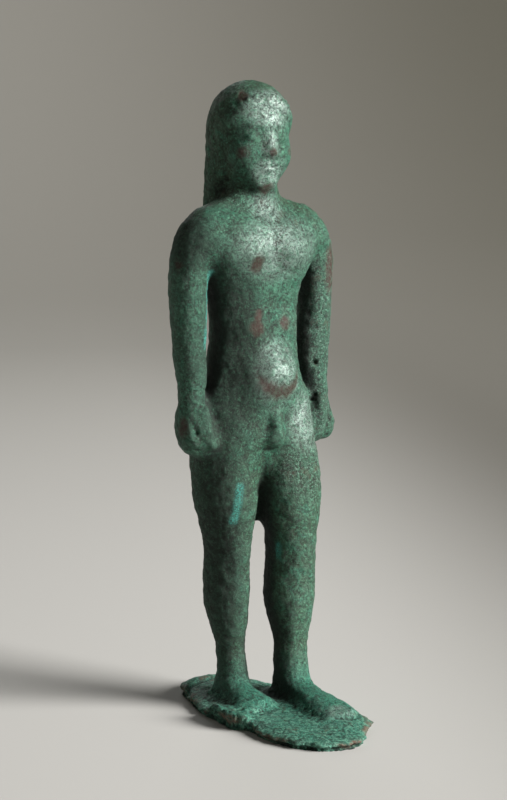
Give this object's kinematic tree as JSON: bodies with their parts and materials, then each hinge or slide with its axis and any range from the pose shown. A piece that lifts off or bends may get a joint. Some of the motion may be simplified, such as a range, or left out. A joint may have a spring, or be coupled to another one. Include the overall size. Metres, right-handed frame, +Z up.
{
  "type": "kouros figurine",
  "caption": "Small solid-cast bronze figure of a standing nude youth, left leg advanced, arms at the sides and long hair down the back, cast in one with an irregular base plate.",
  "frame": {"origin": "middle of the figurine's footprint, on the flat underside of its plate", "axes": "+Z up; the figure faces -Y; +X is the figure's own left"},
  "size_m": [0.0384, 0.0514, 0.125],
  "materials": {
    "patinated_bronze": "green patina over cast bronze, fine granular corrosion, satin, worn to red-brown metal on the highest forms"
  },
  "bodies": {
    "root": {"kouros_figurine": "patinated_bronze"}
  },
  "joints": []
}
